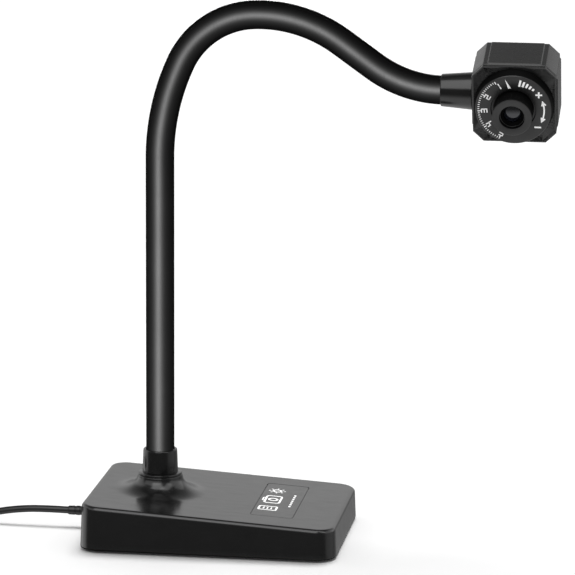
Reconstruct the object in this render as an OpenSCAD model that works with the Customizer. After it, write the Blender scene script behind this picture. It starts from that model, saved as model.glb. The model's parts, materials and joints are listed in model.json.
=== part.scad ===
// Gooseneck document camera: a weighted wedge base, a bendable stem and a small camera head with a dial.
// Units are millimetres. The origin is the centre of the base on the table; +X points from the cable end to
// the low front end, +Z up. The head looks towards -Y.

/* [Base] */
// Length of the base at its foot, cable end to front end
base_l = 126.6; // [118:0.1:150]
// Width of the base at its foot
base_w = 93.8; // [88:0.1:110]
// Height of the base at the cable end
base_h_rear = 23.25; // [22.8:0.05:25]
// Height of the base at the front end
base_h_front = 15.65; // [15.2:0.05:17]
// Radius of the base's upright corners
base_corner_r = 10; // [7:0.5:14]
// Wall thickness of the base cover
base_wall = 2.2; // [2:0.1:2.6]
// Draft of the cover's side walls: how far they lean in for each millimetre of height
wall_draft = 0.04; // [0:0.01:0.05]
// Thickness of the steel ballast plate
ballast_t = 5; // [4:0.5:5.5]

/* [Stem] */
// Distance of the stem from the middle of the base, towards the cable end
stem_back = 30.2; // [28:0.2:34]
// Outside diameter of the gooseneck sleeve
neck_d = 14; // [13.6:0.1:14.2]
// Outside diameter of the steel core in the sleeve
core_d = 9.6; // [9:0.1:9.8]
// Height at which the upright part of the stem ends and the arch begins
stem_straight_top = 188.2; // [180:0.2:200]
// Radius of the arch's first, wide bend
bend_1_r = 113; // [100:1:125]
// Radius of the arch's tight crown
bend_2_r = 42; // [40:0.5:50]
// Radius of the arch's falling side
bend_3_r = 68; // [60:0.5:80]
// Radius of the last bend, which levels the stem at the head
tip_r = 59; // [50:0.5:64]
// Straight run between the arch and the last bend
tip_run = 19.5; // [15:0.5:25]

/* [Head] */
// Width and height of the square head
head_w = 40; // [39:0.5:42]
// Depth of the head along the lens axis
head_depth = 26; // [26:0.5:28]
// Size of the flats across the head's corners
head_chamfer = 5.1; // [4.5:0.1:5.5]
// Angle by which the lens axis points below level
head_tilt = 19; // [0:1:45]
// Diameter of the focus dial's face
dial_d = 36.1; // [35:0.1:36.5]
// How far the dial stands out of the head
dial_h = 5.4; // [5:0.1:6]
// Diameter of the lens barrel
barrel_d = 19.1; // [18.8:0.1:19.2]
// How far the lens barrel stands out of the dial
barrel_out = 8.1; // [7:0.1:9]

/* [Cable] */
// Diameter of the USB cable
cable_d = 3.5; // [3.4:0.05:3.6]
// Height of the cable outlet above the table
cable_z = 8.4; // [8.2:0.1:8.8]
// Radius of the coil at the middle of its turns
coil_r = 19.6; // [19:0.1:22]
// Spacing of the coil's turns
coil_pitch = 3.7; // [3.6:0.05:4]

/* [Hidden] */
$fn = 48;
eps = 0.05;           // overlap that makes a cut clean
slip = 0.1;           // gap between parts that only touch
rim_z = 1;            // the cover's lower rim stands this high above the table
plate_t = 2;          // base plate thickness
plate_top = rim_z + plate_t;
slope = (base_h_rear - base_h_front) / base_l;
slope_a = atan(slope);
stem_x = -stem_back;
mid_h = (base_h_rear + base_h_front) / 2;
rear_x = -base_l / 2;

// Stem joint: boss on the cover, metal fitting, collar, washer and nut
boss_top = 30.5;
boss_ring_r = 10.75;
boss_flare_r = 21;
fillet_r = 9;
seat_z = 18.2;        // flat under the boss, where the washer sits
pad_r = 12;
thread_r = 5;
fitting_bore_r = 3;
cup_r = 6.7;
cup_top = 36;
fitting_bottom = 12.6;
washer_t = 1;
nut_t = 4.2;
collar_top = 42.2;
collar_r1 = 8.85;
collar_r2 = 8.4;

// Screws and pad of the base
pad_inset = 6;        // the rubber pad stops this far inside the base's edge
pad_groove = 0.3;     // and is let into the base plate by this much
cover_screw_at = [[-54, -20], [-54, 20], [54, -20], [54, 20]];
ballast_screw_at = [[-38, -27], [-38, 27], [38, -27], [38, 27]];
clamp_x = -53;
clamp_screw_at = [[clamp_x, -6.5], [clamp_x, 6.5]];
screw_r = 1.5;
screw_hole_r = 1.65;
ballast_top = plate_top + ballast_t;

// Label on the cover's front half
label_x = 29.9;
label_y = 1;
label_l = 61;
label_w = 21;
label_t = 0.4;

// Gooseneck: each station is [x, z, heading], heading in degrees above +X
sleeve_bore_r = 4.9;
core_bore_r = 3;
ball_r = 7.9;         // a link's end is trimmed to this ball ...
socket_r = 8;         // ... and the next link's start to this one
past_joint = 9;       // a link's tube runs on this far before it is trimmed
core_past_end = 2.5;  // the core ends this far inside the swivel fitting
joint_z = [for (i = [0:3]) 64 + i * (stem_straight_top - 64) / 3];
bend_1_a = 24.5;
bend_2_a = 62.5;
bend_3_a = 38.1;
tip_a = bend_1_a + bend_2_a + bend_3_a - 90;
function ahead(s, run) = [s[0] + run * cos(s[2]), s[1] + run * sin(s[2]), s[2]];
function arc_down(s, r, a) =
    [s[0] + r * (sin(s[2]) - sin(s[2] - a)), s[1] - r * (cos(s[2]) - cos(s[2] - a)), s[2] - a];
function arc_up(s, r, a) =
    [s[0] - r * (sin(s[2]) - sin(s[2] + a)), s[1] + r * (cos(s[2]) - cos(s[2] + a)), s[2] + a];
function turn_of(r, run) = run / r * 180 / PI;
arch_start = [stem_x, stem_straight_top, 90];
crown_start = arc_down(arch_start, bend_1_r, bend_1_a);
crown_end = arc_down(crown_start, bend_2_r, bend_2_a);
arch_end = arc_down(crown_end, bend_3_r, bend_3_a);
tip_start = ahead(arch_end, tip_run);
tip_end = arc_up(tip_start, tip_r, tip_a);
JOINTS = concat([for (z = joint_z) [stem_x, z, 90]], [crown_start, crown_end, arch_end, tip_start]);

// Head joint, at the end of the stem
head_x = tip_end[0] + 35;
head_z = tip_end[1];
head_side_x = head_x - head_w / 2;
panel_t = 0.6;        // raised panels on the head's sides
panel_w = 26;
ferrule_x1 = tip_end[0] - 1.2;
ferrule_x2 = head_side_x - panel_t - 0.2;
ferrule_r1 = 7.75;
ferrule_r2 = 9.1;
swivel_cup_x1 = tip_end[0] + eps;
swivel_cup_x2 = swivel_cup_x1 + 6;
swivel_r = 4;
swivel_bore_r = 2.7;
swivel_end_x = head_side_x + 6.9;

// Head, along the lens axis from the middle of the head: +z is towards the scene
shell_t = 1.8;
back_z = -head_depth / 2;
face_z = head_depth / 2;
plate_z = face_z - 2;
dial_top = face_z + dial_h;
dial_base_r = 19.2;
hub_r = 12;
hub_hole_r = 12.2;
barrel_r = barrel_d / 2;
barrel_bore_r = barrel_r + 0.15;
barrel_top = dial_top + barrel_out;
post_at = [[-14, -14], [-14, 14], [14, -14], [14, 14]];
board_post_at = [[13, -10], [-8.5, 13.5]];
board_z = -3;
board_t = 1.2;
thread_lens_r = 5.95;

// Cable, coil and plug
relief_l = 13.8;
outlet_x = rear_x + wall_draft * cable_z;
relief_x = outlet_x - relief_l;
cable_r = cable_d / 2;
lift = 0.6;           // the coil rests on its tie
coil_span = 2.75 * coil_pitch;
coil_out_r = coil_r + coil_span / 2;
coil_x = -165;
coil_y = coil_out_r;
coil_layers = 4;
coil_h = (coil_layers - 1) * coil_pitch + cable_d;
coil_top_z = lift + cable_r + (coil_layers - 1) * coil_pitch;
tail_x = coil_x - (coil_r - coil_span / 2 + 2.25 * coil_pitch);
plug_y = 68;
plug_z = 4;
// Route of the cable from its strain relief to the coil
cable_route = [
    [relief_x, 0, cable_z], [-80, 0, 8.45], [-84, 0, 8.5], [-88, 0, 8.5], [-92, 0, 8.45], [-96, 0, 8.3],
    [-100, 0, 8], [-104, 0, 7.55], [-108, 0, 6.95], [-112, 0, 6.2], [-116, 0, 5.35], [-120, 0, 4.5],
    [-124, 0, 3.7], [-128, 0, 3], [-132, 0, 2.45], [-136, 0, 2.1], [-141, 0, 1.9], [-146, 0, 1.9],
    [-152, 0, 2.1], [-158, 0, 2.3], [coil_x, 0, lift + cable_r]
];
// Route of the cable from the top of the coil down to the plug
tail_route = [
    [tail_x, coil_y, coil_top_z], [tail_x, 28, coil_top_z], [tail_x, 31, 13.3], [tail_x, 34, 13.05],
    [tail_x, 37, 12.3], [tail_x, 40, 11.1], [tail_x, 43, 9.8], [tail_x, 46, 8.5], [tail_x, 49, 7.3],
    [tail_x, 52, 6.25], [tail_x, 55, 5.4], [tail_x, 58, 4.75], [tail_x, 61, 4.3], [tail_x, 64, 4.07],
    [tail_x, plug_y, plug_z]
];

black = [0.07, 0.07, 0.075];
dark = [0.13, 0.13, 0.14];
steel = [0.62, 0.63, 0.65];
white = [0.9, 0.9, 0.9];

LINKS = [0:8];

// ---------- general shapes ----------
module tube(r_out, r_in, h) {
    difference() {
        cylinder(r = r_out, h = h);
        translate([0, 0, -1]) cylinder(r = r_in, h = h + 2);
    }
}

module round_rect(l, w, r) {
    translate([-l / 2 + r, -w / 2]) square([l - 2 * r, w]);
    translate([-l / 2, -w / 2 + r]) square([l, w - 2 * r]);
    for (sx = [-1, 1], sy = [-1, 1])
        translate([sx * (l / 2 - r), sy * (w / 2 - r)]) circle(r = r);
}

module octagon(w, c) {
    h = w / 2;
    polygon([
        [-h + c, -h], [h - c, -h], [h, -h + c], [h, h - c],
        [h - c, h], [-h + c, h], [-h, h - c], [-h, -h + c]
    ]);
}

// Places a shape at a station, pointing along its heading in the XZ plane
module at_station(s) {
    translate([s[0], 0, s[1]]) rotate([0, 90 - s[2], 0]) children();
}

// A tube swept along a list of points: one closed mesh
function unit(v) = v / norm(v);
function heading(p, i) = unit(p[min(i + 1, len(p) - 1)] - p[max(i - 1, 0)]);
function side(t) = unit(cross([0, 0, 1], t));
function ring(p, i, r, n) =
    let (t = heading(p, i), u = side(t), v = cross(t, u))
    [for (k = [0:n - 1]) p[i] + r * (cos(360 * k / n) * u + sin(360 * k / n) * v)];
module swept(p, r, n = 8) {
    m = len(p);
    points = [for (i = [0:m - 1]) each ring(p, i, r, n)];
    sides = [for (i = [0:m - 2], k = [0:n - 1])
        let (a = i * n + k, b = i * n + (k + 1) % n)
        each [[a, a + n, b + n], [a, b + n, b]]];
    ends = [[for (k = [0:n - 1]) k], [for (k = [n - 1:-1:0]) (m - 1) * n + k]];
    polyhedron(points, concat(sides, ends));
}

// ---------- base ----------
// The wedge between a flat bottom at z0 and the sloping top lowered by drop, with its walls inset and drafted
module base_block(inset, z0, drop) {
    end_x = base_l / 2 - inset;
    side_y = base_w / 2 - inset;
    above = 40;
    front_h = (mid_h - drop - slope * end_x) / (1 - slope * wall_draft);
    rear_h = (mid_h - drop + slope * end_x) / (1 + slope * wall_draft);
    intersection() {
        linear_extrude(above) round_rect(2 * end_x, 2 * side_y, base_corner_r - inset);
        rotate([90, 0, 0]) linear_extrude(2 * base_w, center = true) polygon([
            [wall_draft * z0 - end_x, z0], [end_x - wall_draft * z0, z0],
            [end_x - wall_draft * front_h, front_h], [wall_draft * rear_h - end_x, rear_h]
        ]);
        rotate([90, 0, 90]) linear_extrude(2 * base_l, center = true) polygon([
            [-side_y, 0], [side_y, 0],
            [side_y - wall_draft * above, above], [wall_draft * above - side_y, above]
        ]);
    }
}

// Flared boss around the stem, square to the sloping top and trimmed level at its ring
module boss() {
    top_z = mid_h - slope * stem_x;
    corner = [boss_flare_r - fillet_r * cos(20), fillet_r - fillet_r * sin(20)];
    intersection() {
        translate([stem_x, 0, top_z]) rotate([0, slope_a, 0]) rotate_extrude() polygon(concat(
            [[0, -1], [boss_flare_r, -1]],
            [for (a = [0:7:70]) [boss_flare_r - fillet_r * sin(a), fillet_r - fillet_r * cos(a)]],
            [[corner[0] - 1.2, corner[1] + 3.3], [0, corner[1] + 3.3]]
        ));
        translate([stem_x, 0, 0]) cylinder(r = boss_flare_r + 2, h = boss_top - 0.9);
    }
    translate([stem_x, 0, boss_top - 1.2]) cylinder(r = boss_ring_r, h = 1.2);
}

module base_cover() {
    color(black) difference() {
        union() {
            difference() {
                base_block(0, rim_z, 0);
                base_block(base_wall, rim_z - 1, base_wall);
            }
            boss();
            translate([stem_x, 0, seat_z]) cylinder(r = pad_r, h = 4);
            intersection() {
                for (p = cover_screw_at)
                    translate([p[0], p[1], plate_top + slip]) cylinder(r = 3.2, h = 20);
                base_block(base_wall / 2, rim_z, base_wall / 2);
            }
        }
        translate([stem_x, 0, 0]) cylinder(r = thread_r + 0.15, h = 40);
        for (p = cover_screw_at)
            translate([p[0], p[1], 0]) cylinder(r = screw_r, h = 11);
        translate([rear_x - 1, 0, cable_z]) rotate([0, 90, 0]) cylinder(r = 2.7, h = base_wall + 3);
        label_recess();
    }
}

module on_slope(x, y) {
    translate([x, y, mid_h - slope * x]) rotate([0, slope_a, 0]) children();
}

module label_recess() {
    on_slope(label_x, label_y) translate([0, 0, -label_t]) linear_extrude(3) round_rect(label_w, label_l, 2);
}

module label_plate() {
    color(dark) on_slope(label_x, label_y) translate([0, 0, -label_t])
        linear_extrude(label_t) round_rect(label_w - 0.4, label_l - 0.4, 1.8);
}

module base_plate() {
    inset = base_wall + 0.25;
    color(dark) difference() {
        union() {
            translate([0, 0, rim_z]) linear_extrude(plate_t)
                round_rect(base_l - 2 * inset, base_w - 2 * inset, base_corner_r - inset);
            translate([clamp_x - 3, -9, plate_top - eps]) cube([6, 18, cable_z - plate_top + eps]);
        }
        linear_extrude(rim_z + pad_groove)
            round_rect(base_l - 2 * pad_inset, base_w - 2 * pad_inset, base_corner_r - pad_inset / 2);
        for (p = cover_screw_at) {
            translate([p[0], p[1], 0]) cylinder(r = screw_hole_r, h = 5);
            translate([p[0], p[1], 0]) cylinder(r = 3, h = rim_z + 1.3);
        }
        for (p = ballast_screw_at) translate([p[0], p[1], rim_z + 0.5]) cylinder(r = screw_r, h = 5);
        for (p = clamp_screw_at) translate([p[0], p[1], rim_z + 1]) cylinder(r = screw_r, h = 9);
        translate([clamp_x - 4, 0, cable_z]) rotate([0, 90, 0]) cylinder(r = cable_r + eps, h = 8);
    }
}

module ballast_plate() {
    color(steel) difference() {
        translate([-46, -38, plate_top + eps]) cube([94, 76, ballast_t - eps]);
        translate([-47, -4, 0]) cube([24, 8, 20]);
        for (p = ballast_screw_at) translate([p[0], p[1], 0]) cylinder(r = screw_hole_r, h = 20);
    }
}

// Pan-head screw, head down on z = 0, shank pointing down
module pan_screw(shank, head_h, r = screw_r) {
    translate([0, 0, -shank]) cylinder(r = r, h = shank + eps);
    difference() {
        cylinder(r1 = 2 * r - 0.1, r2 = 1.6 * r, h = head_h);
        for (a = [0, 90]) rotate([0, 0, a])
            translate([-r, -0.2 * r, 0.6 * head_h]) cube([2 * r, 0.4 * r, head_h]);
    }
}

module base_inner_screws() {
    color(steel) {
        for (p = ballast_screw_at) translate([p[0], p[1], ballast_top]) pan_screw(ballast_t + 1.3, 1.8);
        for (p = clamp_screw_at) translate([p[0], p[1], cable_z + 3]) pan_screw(8, 1.8);
    }
}

module base_screws() {
    color(steel) for (p = cover_screw_at)
        translate([p[0], p[1], rim_z + 1.3]) mirror([0, 0, 1]) pan_screw(8, 1);
}

module base_pad() {
    inset = pad_inset + 0.1;
    color(dark) linear_extrude(rim_z + pad_groove)
        round_rect(base_l - 2 * inset, base_w - 2 * inset, base_corner_r - pad_inset / 2);
}

module strain_relief() {
    color(black) translate([outlet_x, 0, cable_z]) rotate([0, -90, 0]) difference() {
        union() {
            translate([0, 0, -base_wall - 1.7]) cylinder(r = 3.6, h = 1.5);
            translate([0, 0, -base_wall - 0.5]) cylinder(r = 2.6, h = base_wall + 1);
            cylinder(r1 = 2.55, r2 = 2.3, h = relief_l);
        }
        translate([0, 0, -5]) cylinder(r = cable_r + eps, h = relief_l - 1 + 5);
    }
}

module cable_clamp() {
    color(dark) difference() {
        translate([clamp_x - 3, -9, cable_z + eps]) cube([6, 18, 3 - eps]);
        translate([clamp_x - 4, 0, cable_z]) rotate([0, 90, 0]) cylinder(r = cable_r + eps, h = 8);
        for (p = clamp_screw_at) translate([p[0], p[1], 0]) cylinder(r = screw_hole_r, h = 20);
    }
}

// The cable inside the base: through the relief and the clamp, then up into the fitting
module base_lead() {
    lead_r = 1.3;
    turn_r = 6;
    clamp_end = clamp_x + 5;
    start_x = relief_x + 1.1;
    color(dark) {
        translate([start_x, 0, cable_z]) rotate([0, 90, 0]) cylinder(r = cable_r, h = clamp_end - start_x);
        translate([clamp_end - eps, 0, cable_z]) rotate([0, 90, 0])
            cylinder(r = lead_r, h = stem_x - turn_r - clamp_end + eps);
        translate([stem_x - turn_r, 0, cable_z + turn_r]) rotate([90, 0, 0]) rotate([0, 0, -90])
            rotate_extrude(angle = 90) translate([turn_r, 0]) circle(r = lead_r);
        translate([stem_x, 0, cable_z + turn_r]) cylinder(r = lead_r, h = cup_top - cable_z - turn_r - 5);
    }
}

// ---------- stem joint ----------
module stem_fitting() {
    color(steel) translate([stem_x, 0, 0]) difference() {
        union() {
            translate([0, 0, fitting_bottom]) cylinder(r = thread_r, h = boss_top - fitting_bottom + eps);
            translate([0, 0, boss_top]) cylinder(r = cup_r, h = cup_top - boss_top);
        }
        translate([0, 0, 0]) cylinder(r = fitting_bore_r, h = 40);
        translate([0, 0, boss_top + 1]) cylinder(r = core_d / 2 + eps, h = 10);
    }
}

module stem_collar() {
    color(black) translate([stem_x, 0, 0]) difference() {
        union() {
            translate([0, 0, boss_top])
                cylinder(r1 = collar_r1, r2 = collar_r2, h = collar_top - boss_top - 0.6);
            translate([0, 0, collar_top - 0.6]) cylinder(r1 = collar_r2, r2 = collar_r2 - 0.4, h = 0.6);
        }
        translate([0, 0, boss_top - 1]) cylinder(r = cup_r + eps, h = cup_top - boss_top + 1 + eps);
        translate([0, 0, cup_top]) cylinder(r = neck_d / 2 + eps, h = 10);
    }
}

module stem_washer() {
    color(steel) translate([stem_x, 0, seat_z - washer_t]) tube(10, thread_r + 0.3, washer_t - eps);
}

module stem_nut() {
    color(steel) translate([stem_x, 0, seat_z - washer_t - nut_t]) difference() {
        cylinder(r = 8.1, h = nut_t - eps, $fn = 6);
        translate([0, 0, -1]) cylinder(r = thread_r + eps, h = nut_t + 2);
    }
}

// ---------- gooseneck ----------
module straight_link(s, run, r_out, r_in) {
    at_station(s) tube(r_out, r_in, run);
}

module turned_link(cx, cz, start, a, r, r_out, r_in) {
    translate([cx, 0, cz]) rotate([90, 0, 0]) rotate([0, 0, start]) rotate_extrude(angle = a, $fn = 96)
        translate([r, 0]) difference() {
            circle(r = r_out);
            circle(r = r_in);
        }
}

module link_down(s, r, a, r_out, r_in) {
    turned_link(s[0] + r * sin(s[2]), s[1] - r * cos(s[2]), s[2] + 90 - a, a, r, r_out, r_in);
}

module link_up(s, r, a, r_out, r_in) {
    turned_link(s[0] - r * sin(s[2]), s[1] + r * cos(s[2]), s[2] - 90, a, r, r_out, r_in);
}

// What is cut off past a joint, so that a link ends in a ball
module ball_cut(s) {
    at_station(s) difference() {
        translate([-20, -20, 0]) cube([40, 40, 20]);
        sphere(r = ball_r);
    }
}

module socket_cut(s) {
    translate([s[0], 0, s[1]]) sphere(r = socket_r);
}

// The plain tube of link k, from joint k to past_joint beyond the next one
module link_tube(k, r_out, r_in, z0, past_end) {
    if (k == 0) straight_link([stem_x, z0, 90], joint_z[0] - z0 + past_joint, r_out, r_in);
    if (k > 0 && k < 4)
        straight_link(JOINTS[k - 1], joint_z[k] - joint_z[k - 1] + past_joint, r_out, r_in);
    if (k == 4) link_down(arch_start, bend_1_r, bend_1_a + turn_of(bend_1_r, past_joint), r_out, r_in);
    if (k == 5) link_down(crown_start, bend_2_r, bend_2_a + turn_of(bend_2_r, past_joint), r_out, r_in);
    if (k == 6) link_down(crown_end, bend_3_r, bend_3_a + turn_of(bend_3_r, past_joint), r_out, r_in);
    if (k == 7) straight_link(arch_end, tip_run + past_joint, r_out, r_in);
    if (k == 8) link_up(tip_start, tip_r, tip_a + turn_of(tip_r, past_end), r_out, r_in);
}

// Link k, hollowed at its own joint and rounded at the next one, which lets it tilt without touching
module neck_link(k, r_out, r_in, z0, past_end) {
    difference() {
        link_tube(k, r_out, r_in, z0, past_end);
        if (k > 0) socket_cut(JOINTS[k - 1]);
        if (k < 8) ball_cut(JOINTS[k]);
    }
}

module neck_sleeve(k) {
    color(black) neck_link(k, neck_d / 2, sleeve_bore_r, cup_top + eps, 0);
}

module neck_core(k) {
    color(steel) neck_link(k, core_d / 2, core_bore_r, boss_top + 1 + eps, core_past_end);
}

// ---------- head joint ----------
module along_x(x) {
    translate([x, 0, head_z]) rotate([0, 90, 0]) children();
}

module head_ferrule() {
    l = ferrule_x2 - ferrule_x1;
    color(black) along_x(ferrule_x1) difference() {
        cylinder(r1 = ferrule_r1, r2 = ferrule_r2, h = l);
        translate([0, 0, -1]) cylinder(r = neck_d / 2 + eps, h = swivel_cup_x1 - ferrule_x1 + 1 + eps);
        cylinder(r = cup_r + eps, h = swivel_cup_x2 - ferrule_x1 + eps);
        cylinder(r = swivel_r + eps, h = l + 1);
    }
}

module swivel_fitting() {
    color(steel) difference() {
        union() {
            along_x(swivel_cup_x1) cylinder(r = cup_r, h = swivel_cup_x2 - swivel_cup_x1);
            along_x(swivel_cup_x2 - eps) cylinder(r = swivel_r, h = swivel_end_x - swivel_cup_x2 + eps);
        }
        along_x(swivel_cup_x1 - 1) cylinder(r = core_d / 2 + 0.2, h = core_past_end + 1.2);
        along_x(swivel_cup_x1) cylinder(r = swivel_bore_r, h = 30);
    }
}

module swivel_washer() {
    color(steel) along_x(head_side_x + shell_t + eps) tube(6.5, swivel_r + 0.1, 0.6);
}

module swivel_nut() {
    color(steel) along_x(head_side_x + shell_t + 0.75) difference() {
        cylinder(r = 6.2, h = 3.2, $fn = 6);
        translate([0, 0, -1]) cylinder(r = swivel_r + eps, h = 6);
    }
}

// ---------- head: everything below is drawn along the lens axis ----------
module lens_frame() {
    translate([head_x, 0, head_z]) rotate([head_tilt, 0, 0]) rotate([90, 0, 0]) children();
}

module at_z(z) {
    translate([0, 0, z]) children();
}

module head_housing() {
    inner_w = head_w - 2 * shell_t;
    color(black) difference() {
        lens_frame() difference() {
            union() {
                at_z(back_z) linear_extrude(plate_z - back_z - eps) octagon(head_w, head_chamfer);
                for (a = [0:90:270]) rotate([0, 0, a])
                    translate([head_w / 2 - 1, -panel_w / 2, back_z + 0.6])
                        cube([1 + panel_t, panel_w, plate_z - back_z - 1.4]);
            }
            at_z(back_z + 2) linear_extrude(head_depth) octagon(inner_w, head_chamfer - 0.6 * shell_t);
            for (p = post_at) translate([p[0], p[1], back_z - 1]) {
                cylinder(r = 1.15, h = 6);
                cylinder(r = 2.1, h = 2);
            }
            translate([head_w / 2 - shell_t - 1, 0, 0]) rotate([0, 90, 0]) cylinder(r = 0.5, h = 4);
            translate([head_w / 2 - shell_t - 1, 0, 0]) rotate([0, 90, 0]) cylinder(r = 2.1, h = 1.8);
        }
        along_x(head_side_x - 2) cylinder(r = swivel_r + 0.06, h = shell_t + 3);
    }
}

module head_front_plate() {
    inner_w = head_w - 2 * shell_t - 0.2;
    color(black) lens_frame() difference() {
        union() {
            at_z(plate_z) linear_extrude(face_z - plate_z) octagon(head_w, head_chamfer);
            at_z(plate_z - 1.5) linear_extrude(1.5 + eps) difference() {
                octagon(inner_w, head_chamfer - 0.6 * shell_t);
                octagon(inner_w - 2.4, head_chamfer - 1.2 * shell_t);
            }
            for (p = post_at)
                translate([p[0], p[1], back_z + 2.05]) cylinder(r = 2, h = plate_z - back_z - 2);
            for (p = board_post_at)
                translate([p[0], p[1], board_z + eps]) cylinder(r = 1.9, h = plate_z - board_z);
        }
        at_z(0) cylinder(r = hub_hole_r, h = 20);
        for (p = post_at) translate([p[0], p[1], back_z]) cylinder(r = 0.95, h = 12);
        for (p = board_post_at) translate([p[0], p[1], board_z - 1]) cylinder(r = 0.95, h = 7);
    }
}

module head_screws() {
    color(steel) lens_frame() for (p = post_at)
        translate([p[0], p[1], back_z + 1]) mirror([0, 0, 1]) pan_screw(8, 0.9, 0.95);
}

module focus_dial() {
    color(black) lens_frame() difference() {
        rotate_extrude($fn = 96) polygon([
            [barrel_bore_r, plate_z - 2.2], [hub_r - 0.7, plate_z - 2.2],
            [hub_r - 0.7, plate_z - 0.2], [hub_r, plate_z - 0.2],
            [hub_r, dial_top - 2], [dial_base_r - 2.6, dial_top - 2], [dial_base_r - 1.6, face_z + slip],
            [dial_base_r, face_z + slip], [dial_d / 2 + 0.1, dial_top - 0.4], [dial_d / 2 - 0.3, dial_top],
            [10.7, dial_top], [10.7, dial_top - 1.2], [barrel_bore_r, dial_top - 1.2]
        ]);
        translate([0, -0.9, plate_z - 3]) cube([barrel_r + 0.95, 1.8, 20]);
    }
}

module dial_clip() {
    color(steel) lens_frame() at_z(plate_z - 1.3) difference() {
        tube(13.6, hub_r - 0.65, 1);
        translate([0, -2, -1]) cube([20, 4, 4]);
    }
}

module lens_barrel() {
    color(dark) lens_frame() difference() {
        union() {
            at_z(plate_z - 1) cylinder(r = barrel_r, h = barrel_top - plate_z + 1);
            at_z(1.2) cylinder(r = thread_lens_r, h = plate_z);
            translate([0, -0.75, plate_z]) cube([barrel_r + 0.75, 1.5, dial_h]);
        }
        at_z(0) cylinder(r = 3, h = 40);
        at_z(0) cylinder(r = 4.1, h = 5.5);
        at_z(barrel_top - 7) cylinder(r = 5.65, h = 8);
        at_z(barrel_top - 2.2) cylinder(r = 5.95, h = 3);
    }
}

module lens_retainer() {
    color(black) lens_frame() at_z(barrel_top - 3.4) difference() {
        cylinder(r = 5.6, h = 1.2);
        at_z(-1) cylinder(r1 = 4.2, r2 = 5.2, h = 2.4);
    }
}

// Round lens with two curved faces
module glass(r, bulge, edge) {
    ball = (r * r + bulge * bulge) / (2 * bulge);
    intersection() {
        cylinder(r = r, h = edge + bulge);
        at_z(edge + bulge - ball) sphere(r = ball, $fn = 64);
    }
}

module front_lens() {
    color([0.35, 0.4, 0.5]) lens_frame() at_z(barrel_top - 6.9) glass(5.55, 1.3, 2.1);
}

module rear_lens() {
    color([0.35, 0.4, 0.5]) lens_frame() at_z(5.4) mirror([0, 0, 1]) glass(4.05, 0.9, 1.2);
}

module lens_holder() {
    color(dark) lens_frame() difference() {
        union() {
            translate([-8, -8, board_z + eps]) cube([16, 16, 3.9]);
            at_z(board_z + 1) cylinder(r = 8, h = 11);
        }
        at_z(board_z - 1) linear_extrude(3) square(11, center = true);
        at_z(board_z + 1) cylinder(r = 4.5, h = 20);
        at_z(board_z + 3.5) cylinder(r = thread_lens_r + 0.05, h = 20);
    }
}

module ir_filter() {
    color([0.5, 0.25, 0.3]) lens_frame() at_z(board_z + 1.45) linear_extrude(0.5) square(10.8, center = true);
}

module image_sensor() {
    color(dark) lens_frame() at_z(board_z + eps) linear_extrude(1.2) square(8.4, center = true);
}

module sensor_board() {
    color([0.05, 0.3, 0.15]) lens_frame() at_z(board_z - board_t) difference() {
        translate([-11.5, -15.8, 0]) cube([27, 31.6, board_t]);
        for (p = post_at) translate([p[0], p[1], -1]) cylinder(r = 2.6, h = 5);
        for (p = board_post_at) translate([p[0], p[1], -1]) cylinder(r = 1.1, h = 5);
        translate([-12, -1.6, -1]) cube([3.2, 3.2, 5]);
    }
}

module board_screws() {
    color(steel) lens_frame() for (p = board_post_at)
        translate([p[0], p[1], board_z - board_t]) mirror([0, 0, 1]) pan_screw(board_t + 4, 0.9, 0.95);
}

module board_connector() {
    color(white) lens_frame() difference() {
        translate([-3, -4, board_z - board_t - 3.6]) cube([5, 8, 3.55]);
        translate([-4, -3, board_z - board_t - 2.9]) cube([5, 6, 2.2]);
    }
}

// The cable inside the head: from the swivel's mouth to the connector on the board
module head_lead() {
    lead_r = 0.9;
    mouth = -head_w / 2 + 7.4;
    plug_level = board_z - board_t - 1.8;
    turn = 2.5;
    color(dark) lens_frame() {
        rise = -plug_level - 2 * turn;
        translate([mouth, 0, -turn]) rotate([90, 0, 0])
            rotate_extrude(angle = 90) translate([turn, 0]) circle(r = lead_r);
        translate([mouth + turn, 0, -turn - rise]) cylinder(r = lead_r, h = rise);
        translate([mouth + 2 * turn, 0, -turn - rise]) rotate([90, 0, 0]) rotate([0, 0, 180])
            rotate_extrude(angle = 90) translate([turn, 0]) circle(r = lead_r);
        translate([mouth + 2 * turn, 0, plug_level]) rotate([0, 90, 0]) cylinder(r = lead_r, h = 3);
    }
}

module microphone() {
    color(steel) lens_frame()
        translate([head_w / 2 - shell_t - 0.9, 0, 0]) rotate([0, 90, 0]) cylinder(r = 2, h = 1.6);
}

// ---------- cable ----------
module usb_cable() {
    color(black) swept(cable_route, cable_r);
}

module cable_coil() {
    color(black) translate([coil_x, coil_y, lift])
        tube(coil_out_r + cable_r, coil_r - coil_span / 2 - cable_r, coil_h);
}

module cable_tail() {
    color(black) swept(tail_route, cable_r);
}

module cable_tie() {
    w = coil_span + cable_d;
    color(black) translate([coil_x + coil_r, coil_y, 0]) rotate([90, 0, 0])
        linear_extrude(3, center = true) difference() {
            translate([-w / 2 - 0.8, 0]) square([w + 1.6, coil_h + lift + 0.7]);
            translate([-w / 2 - 0.2, lift - eps]) square([w + 0.4, coil_h + 2 * eps]);
        }
}

module plug_body() {
    color(black) translate([tail_x, plug_y, plug_z]) difference() {
        union() {
            rotate([-90, 0, 0]) cylinder(r1 = 2.3, r2 = 3.2, h = 7);
            translate([-7.8, 7 - eps, -4]) cube([15.6, 19, 8]);
        }
        translate([-5.9, 22, -2.2]) cube([11.8, 10, 4.4]);
    }
}

module plug_shell() {
    color(steel) translate([tail_x, plug_y + 22.1, plug_z]) difference() {
        translate([-5.85, 0, -2.15]) cube([11.7, 16, 4.3]);
        translate([-5.5, 0.4, -1.8]) cube([11, 20, 3.6]);
        for (x = [-2.7, 2.7]) translate([x - 1.1, 8.6, 1]) cube([2.2, 2, 3]);
    }
}

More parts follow.
